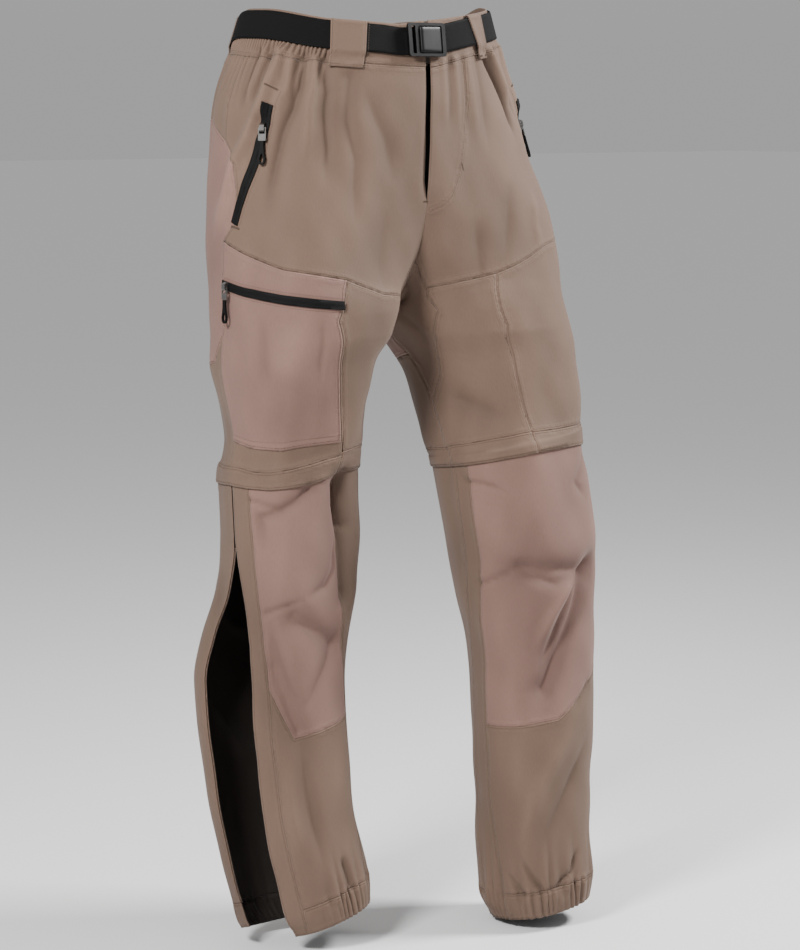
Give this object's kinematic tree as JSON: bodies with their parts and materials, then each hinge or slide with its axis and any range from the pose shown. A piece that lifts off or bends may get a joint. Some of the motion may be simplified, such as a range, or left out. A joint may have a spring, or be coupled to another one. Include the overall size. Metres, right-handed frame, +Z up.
{
  "type": "convertible zip-off trousers",
  "caption": "Worn-shape hiking trousers with zip-off lower legs hidden under knee flaps, webbing belt, cargo pocket, side zips and gathered hems",
  "frame": {"origin": "centre of the open waist at its top edge, where the wearer's waist holds the trousers up", "axes": "+Z up along the standing wearer, -Y to the front, -X to the wearer's right"},
  "size_m": [0.4452, 0.3198, 1.0658],
  "materials": {
    "taupe_cloth": "matt woven",
    "rose_cloth": "matt woven",
    "zip_tape": "ribbed tape",
    "belt_webbing": "webbing",
    "buckle_plastic": "satin",
    "zip_metal": "satin",
    "puller_rubber": "matt"
  },
  "bodies": {
    "trousers": {"waistband_front_r": "taupe_cloth", "waistband_front_l": "taupe_cloth", "waistband_back": "taupe_cloth", "front_hip_r": "taupe_cloth", "thigh_front_r": "taupe_cloth", "thigh_side_r": "taupe_cloth", "yoke_back_r": "taupe_cloth", "seat_r": "rose_cloth", "thigh_back_r": "taupe_cloth", "knee_band_front_r": "taupe_cloth", "knee_band_side_r": "taupe_cloth", "knee_zip_r": "zip_tape", "front_hip_l": "taupe_cloth", "thigh_front_l": "taupe_cloth", "thigh_side_l": "taupe_cloth", "yoke_back_l": "taupe_cloth", "seat_l": "rose_cloth", "thigh_back_l": "taupe_cloth", "knee_band_front_l": "taupe_cloth", "knee_band_side_l": "taupe_cloth", "knee_zip_l": "zip_tape", "gusset": "taupe_cloth", "knee_panel_r": "rose_cloth", "shin_r": "taupe_cloth", "outer_strip_r": "taupe_cloth", "inner_strip_r": "taupe_cloth", "calf_r": "taupe_cloth", "hem_front_r": "taupe_cloth", "hem_back_r": "taupe_cloth", "knee_panel_l": "rose_cloth", "shin_l": "taupe_cloth", "outer_strip_l": "taupe_cloth", "inner_strip_l": "taupe_cloth", "calf_l": "taupe_cloth", "hem_front_l": "taupe_cloth", "hem_back_l": "taupe_cloth", "side_zip_front_r": "zip_tape", "side_zip_back_r": "zip_tape", "side_zip_l": "zip_tape", "fly_guard": "taupe_cloth", "cargo_pocket_r": "rose_cloth", "cargo_zip_r": "zip_tape", "hand_zip_r": "zip_tape", "hand_zip_l": "zip_tape", "hand_zip_r_slider": "zip_metal", "hand_zip_l_slider": "zip_metal", "cargo_zip_r_slider": "zip_metal", "belt": "belt_webbing", "buckle_frame": "buckle_plastic", "buckle_lever": "buckle_plastic", "belt_loop_front_r": "taupe_cloth", "belt_loop_front_l": "taupe_cloth", "belt_loop_back_r": "taupe_cloth", "belt_loop_back_l": "taupe_cloth"},
    "hand_pull_r": {"hand_zip_r_pull": "zip_metal", "hand_zip_r_pull_loop": "puller_rubber"},
    "hand_pull_l": {"hand_zip_l_pull": "zip_metal", "hand_zip_l_pull_loop": "puller_rubber"},
    "cargo_pull_r": {"cargo_zip_r_pull": "zip_metal", "cargo_zip_r_pull_loop": "puller_rubber"}
  },
  "joints": [
    {"name": "hand_pull_r_swing", "type": "hinge", "parent": "trousers", "child": "hand_pull_r", "pos_m": [-0.18182, -0.05238, -0.12539], "axis": [-0.4479, 0.8941, 0], "range_deg": [0, 110]},
    {"name": "hand_pull_l_swing", "type": "hinge", "parent": "trousers", "child": "hand_pull_l", "pos_m": [0.18, -0.06319, -0.12232], "axis": [-0.4731, -0.881, 0], "range_deg": [0, 110]},
    {"name": "cargo_pull_r_swing", "type": "hinge", "parent": "trousers", "child": "cargo_pull_r", "pos_m": [-0.20944, -0.01728, -0.30022], "axis": [-0.0079, 1, 0], "range_deg": [0, 110]}
  ]
}
